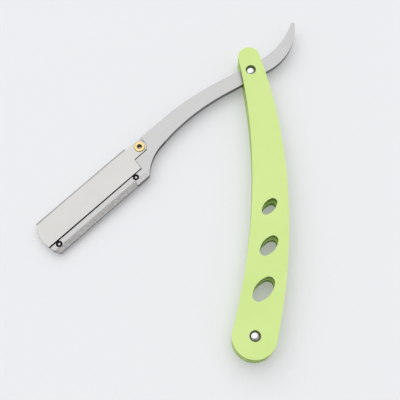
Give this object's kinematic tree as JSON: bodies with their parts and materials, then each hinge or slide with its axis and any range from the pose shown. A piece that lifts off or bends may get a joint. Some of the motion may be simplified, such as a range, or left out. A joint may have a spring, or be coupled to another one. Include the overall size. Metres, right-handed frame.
{
  "type": "folding straight razor",
  "caption": "Folding straight razor for half double-edge blades: two-scale plastic handle with oval holes, steel arm, swinging blade cover.",
  "frame": {"origin": "where the axis of the handle's pivot rivet meets the plane that the back scale lies on", "axes": "-Y from the pivot rivet to the handle's end rivet, -X to the side on which the arm lies half open, +Z along the rivets, from the back scale to the front scale"},
  "size_m": [0.1158, 0.1605, 0.0094],
  "materials": {
    "handle_plastic": "satin, pale lime",
    "spacer_plastic": "matte, pale lime",
    "rivet_chrome": "polished",
    "washer_steel": "plain",
    "body_steel": "satin",
    "leaf_steel": "satin",
    "blade_steel": "polished",
    "eyelet_brass": "polished"
  },
  "bodies": {
    "handle": {"front_scale": "handle_plastic", "back_scale": "handle_plastic", "pivot_pin": "rivet_chrome", "pivot_cap_front": "rivet_chrome", "pivot_cap_back": "rivet_chrome", "pivot_washer_front": "washer_steel", "pivot_washer_back": "washer_steel", "end_pin": "rivet_chrome", "end_cap_front": "rivet_chrome", "end_cap_back": "rivet_chrome", "end_spacer": "spacer_plastic"},
    "blade_arm": {"razor_body": "body_steel", "brass_eyelet": "eyelet_brass", "blade_pin_toe": "rivet_chrome", "blade_pin_heel": "rivet_chrome", "half_blade": "blade_steel"},
    "leaf": {"swing_leaf": "leaf_steel"}
  },
  "joints": [
    {"name": "handle_fold", "type": "hinge", "parent": "handle", "child": "blade_arm", "pos_m": [0, 0, 0.0047], "axis": [0, 0, 1], "range_deg": [-224.8, 42.4]},
    {"name": "leaf_swing", "type": "hinge", "parent": "blade_arm", "child": "leaf", "pos_m": [-0.05057, -0.03783, 0.0047], "axis": [0, 0, 1], "range_deg": [-90, 0]}
  ]
}
